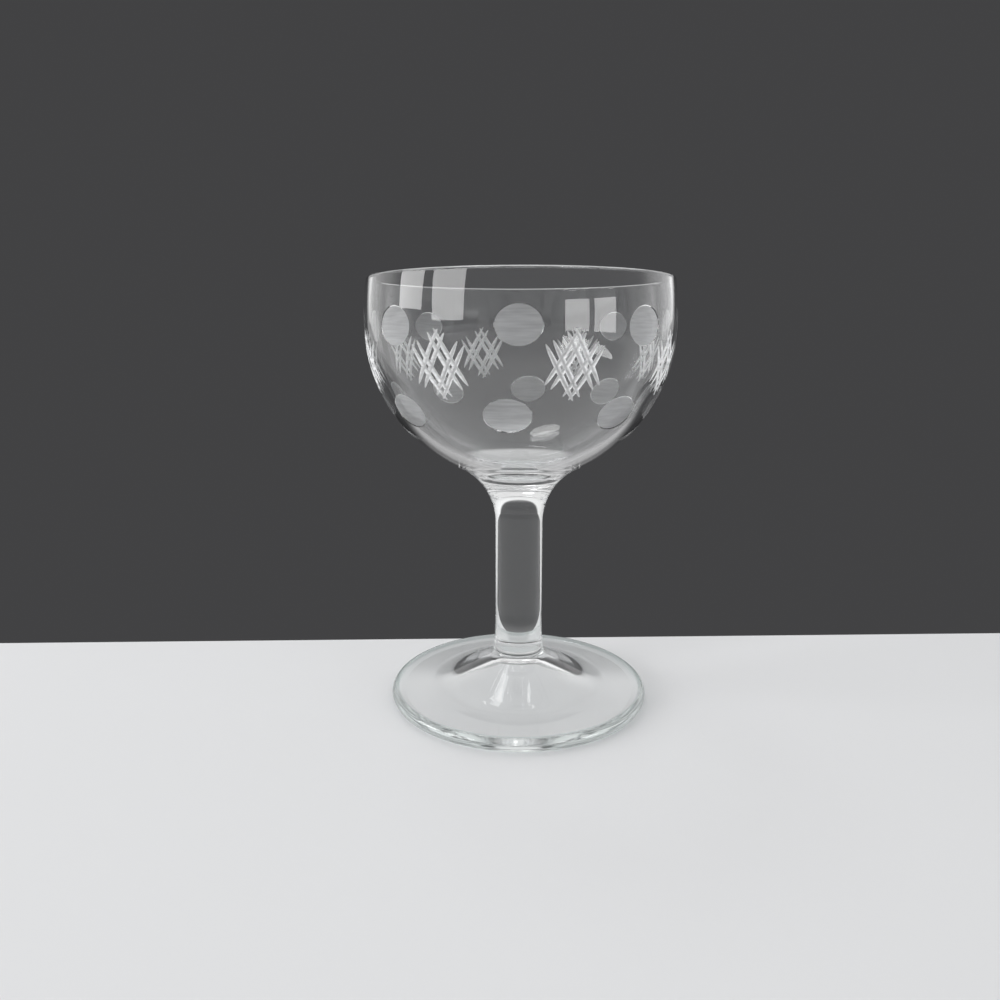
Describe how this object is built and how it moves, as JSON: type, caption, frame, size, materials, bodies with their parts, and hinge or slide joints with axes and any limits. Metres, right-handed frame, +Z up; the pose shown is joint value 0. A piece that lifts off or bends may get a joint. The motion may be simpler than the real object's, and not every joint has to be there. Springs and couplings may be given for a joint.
{
  "type": "liqueur glass",
  "caption": "Small stemmed liqueur glass: round open bowl cut with dots and crosshatched diamonds, plain solid stem and hollow round foot, for drinking liqueur.",
  "frame": {"origin": "centre of the flat ring under the foot, on the surface that the glass stands on", "axes": "+Z up along the glass's axis of revolution, -Y towards the front of the picture, +X to its right"},
  "size_m": [0.0632, 0.0632, 0.09],
  "materials": {
    "bowl_glass": "clear polished glass with ground satin dots and bright mitre cuts",
    "stem_glass": "clear fire-polished glass",
    "foot_glass": "clear fire-polished glass, faintly green at the edge"
  },
  "bodies": {
    "root": {"bowl": "bowl_glass", "stem": "stem_glass", "foot": "foot_glass"}
  },
  "joints": []
}
